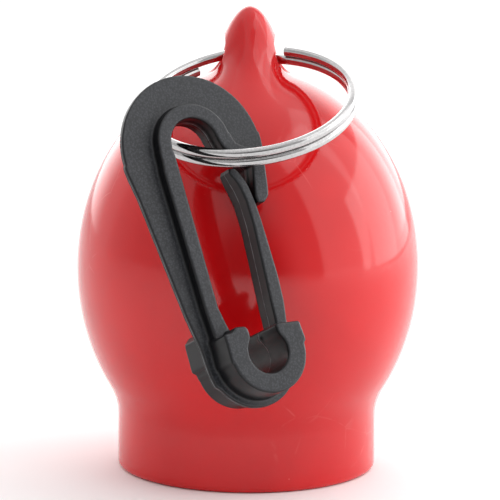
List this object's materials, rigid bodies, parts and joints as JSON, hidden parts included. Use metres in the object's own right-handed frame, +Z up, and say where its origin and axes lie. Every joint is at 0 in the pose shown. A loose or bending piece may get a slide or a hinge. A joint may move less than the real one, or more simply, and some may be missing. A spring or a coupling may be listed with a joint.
{
  "type": "diving regulator mouthpiece cover",
  "caption": "Hollow soft egg-shaped cover with an open collar and a drilled top lug, carrying a two-turn split ring and a one-piece snap clip.",
  "frame": {"origin": "centre of the mouth, in the plane of the collar's foot", "axes": "+Z up the cover to its lug, -Z out of the mouth, +X along the lug's hole, -Y the side on which the ring and the clip hang"},
  "size_m": [0.057, 0.0777, 0.0774],
  "materials": {
    "soft_red": "gloss",
    "polished_steel": "polished",
    "clip_black": "satin"
  },
  "bodies": {
    "cover": {"cover": "soft_red"},
    "ring": {"split_ring": "polished_steel"},
    "clip": {"clip_frame": "clip_black"},
    "gate": {"clip_gate": "clip_black"}
  },
  "joints": [
    {"name": "ring_swing", "type": "hinge", "parent": "cover", "child": "ring", "pos_m": [0, 0, 0.0693], "axis": [1, 0, 0], "range_deg": [-205, 0]},
    {"name": "clip_swing", "type": "hinge", "parent": "ring", "child": "clip", "pos_m": [-0.00724, -0.02962, 0.0567], "axis": [-0.8947, 0.4416, 0.0669], "range_deg": [-2, 27]},
    {"name": "gate_flex", "type": "hinge", "parent": "clip", "child": "gate", "pos_m": [0.0044, -0.03597, 0.0307], "axis": [0.4513, -0.7991, 0.3972], "range_deg": [0, 14], "stiffness_Nm_per_rad": 0.5}
  ]
}
